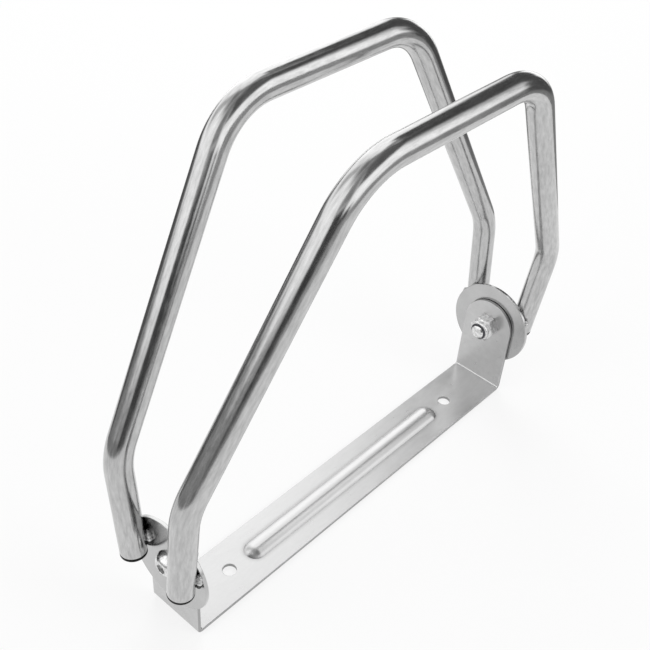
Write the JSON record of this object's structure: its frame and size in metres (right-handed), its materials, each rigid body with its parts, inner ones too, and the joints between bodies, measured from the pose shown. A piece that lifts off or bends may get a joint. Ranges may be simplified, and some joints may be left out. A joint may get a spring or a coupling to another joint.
{
  "type": "bike rack",
  "caption": "Swivelling wheel holder for a floor or wall: a folded steel strip with ears carries splayed tube hoops on pivot discs, and the wheel stands between the hoops.",
  "frame": {"origin": "centre of the bracket's mounting face, on the plane of the floor or wall", "axes": "+X along the strip towards the far end, +Y across the strip towards the rear hoop, +Z away from the mounting face"},
  "size_m": [0.3496, 0.1004, 0.301],
  "materials": {
    "bracket_steel": "bright zinc plated, satin",
    "disc_steel": "bright zinc plated, glossy",
    "tube_steel": "bright zinc plated, glossy",
    "weld_steel": "rippled weld metal under zinc",
    "fastener_steel": "bright zinc plated",
    "washer_plastic": "matt black",
    "plug_plastic": "matt black",
    "insert_nylon": "smooth dark nylon"
  },
  "bodies": {
    "bracket": {"base_bracket": "bracket_steel", "near_pivot_screw": "fastener_steel", "far_pivot_screw": "fastener_steel", "near_friction_washer": "washer_plastic", "far_friction_washer": "washer_plastic", "near_lock_nut": "fastener_steel", "far_lock_nut": "fastener_steel", "near_nut_insert": "insert_nylon", "far_nut_insert": "insert_nylon"},
    "hoops": {"near_pivot_disc": "disc_steel", "far_pivot_disc": "disc_steel", "rear_hoop": "tube_steel", "front_hoop": "tube_steel", "near_weld_beads": "weld_steel", "far_weld_beads": "weld_steel", "rear_near_plug": "plug_plastic", "rear_far_plug": "plug_plastic", "front_near_plug": "plug_plastic", "front_far_plug": "plug_plastic"}
  },
  "joints": [
    {"name": "hoop_swivel", "type": "hinge", "parent": "bracket", "child": "hoops", "pos_m": [0, 0, 0.053], "axis": [1, 0, 0], "range_deg": [-90, 90]}
  ]
}
